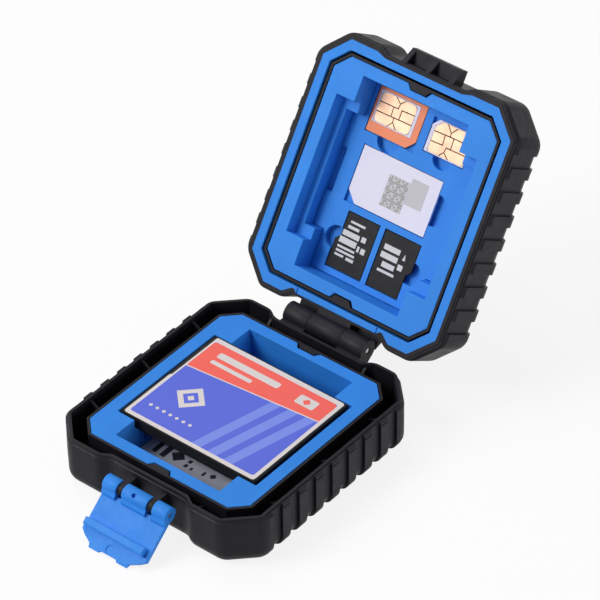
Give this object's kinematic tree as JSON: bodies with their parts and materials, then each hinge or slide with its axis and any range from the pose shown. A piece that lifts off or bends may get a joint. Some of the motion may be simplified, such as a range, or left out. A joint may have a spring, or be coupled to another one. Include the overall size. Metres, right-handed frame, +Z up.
{
  "type": "memory card case",
  "caption": "Palm-size hinged case with ribbed black halves, snap latch, gasket and stepped blue trays that hold loose memory cards and phone cards.",
  "frame": {"origin": "Centre of the flat underside of the lower half, where the case rests on a table.", "axes": "+X runs along the hinge to the right as seen from the latch, +Y from the latch to the hinge, +Z up."},
  "size_m": [0.064, 0.1366, 0.0739],
  "materials": {
    "shell_black": "satin moulded plastic",
    "tray_blue": "fine matt moulded plastic",
    "latch_blue": "satin moulded plastic",
    "seal_blue": "matt soft gasket",
    "pin_steel": "drawn wire",
    "card_black": "fine matt moulded plastic",
    "card_label": "printed thin plate",
    "card_steel": "rolled sheet",
    "board_green": "coated board",
    "medium_grey": "printed grey label on plastic",
    "lock_white": "smooth plastic",
    "sim_white": "smooth card stock",
    "sim_orange": "smooth card stock",
    "contact_gold": "plated contact pads"
  },
  "bodies": {
    "base": {"base_shell": "shell_black", "base_tray": "tray_blue", "hinge_pin": "pin_steel", "latch_pin": "pin_steel"},
    "lid": {"lid_shell": "shell_black", "lid_seal": "seal_blue", "lid_tray": "tray_blue"},
    "latch": {"latch_lever": "latch_blue"},
    "large_card": {"large_card_frame": "card_black", "large_card_top_plate": "card_label", "large_card_bottom_plate": "card_steel", "large_card_connector": "card_black", "large_card_board": "board_green"},
    "medium_card": {"medium_card_body": "medium_grey"},
    "medium_lock": {"medium_card_lock": "lock_white"},
    "insert": {"card_insert": "tray_blue"},
    "standard_sim": {"standard_sim_card": "sim_white", "standard_sim_contacts": "contact_gold"},
    "micro_sim": {"micro_sim_card": "sim_orange", "micro_sim_module": "sim_white", "micro_sim_contacts": "contact_gold"},
    "nano_sim": {"nano_sim_card": "sim_white", "nano_sim_contacts": "contact_gold"},
    "micro_card_left": {"micro_memory_card_left": "card_black"},
    "micro_card_right": {"micro_memory_card_right": "card_black"}
  },
  "joints": [
    {"name": "lid_hinge", "type": "hinge", "parent": "base", "child": "lid", "pos_m": [0, 0.0368, 0.0146], "axis": [-1, 0, 0], "range_deg": [-123.5, 0]},
    {"name": "latch_hinge", "type": "hinge", "parent": "base", "child": "latch", "pos_m": [0, -0.0375, 0.0111], "axis": [1, 0, 0], "range_deg": [-130.5, 0]},
    {"name": "large_card_lift", "type": "slide", "parent": "base", "child": "large_card", "axis": [0, 0, 1], "range_m": [0, 0.015]},
    {"name": "medium_card_lift", "type": "slide", "parent": "base", "child": "medium_card", "axis": [0, 0, 1], "range_m": [0, 0.0059]},
    {"name": "medium_lock_slide", "type": "slide", "parent": "medium_card", "child": "medium_lock", "axis": [1, 0, 0], "range_m": [0, 0.0019]},
    {"name": "insert_lift", "type": "slide", "parent": "lid", "child": "insert", "axis": [0, -0.8339, 0.5519], "range_m": [0, 0.018]},
    {"name": "standard_sim_lift", "type": "slide", "parent": "insert", "child": "standard_sim", "axis": [0, -0.8339, 0.5519], "range_m": [0, 0.006]},
    {"name": "micro_sim_lift", "type": "slide", "parent": "insert", "child": "micro_sim", "axis": [0, -0.8339, 0.5519], "range_m": [0, 0.006]},
    {"name": "nano_sim_lift", "type": "slide", "parent": "insert", "child": "nano_sim", "axis": [0, -0.8339, 0.5519], "range_m": [0, 0.006]},
    {"name": "micro_card_left_lift", "type": "slide", "parent": "insert", "child": "micro_card_left", "axis": [0, -0.8339, 0.5519], "range_m": [0, 0.006]},
    {"name": "micro_card_right_lift", "type": "slide", "parent": "insert", "child": "micro_card_right", "axis": [0, -0.8339, 0.5519], "range_m": [0, 0.006]}
  ]
}
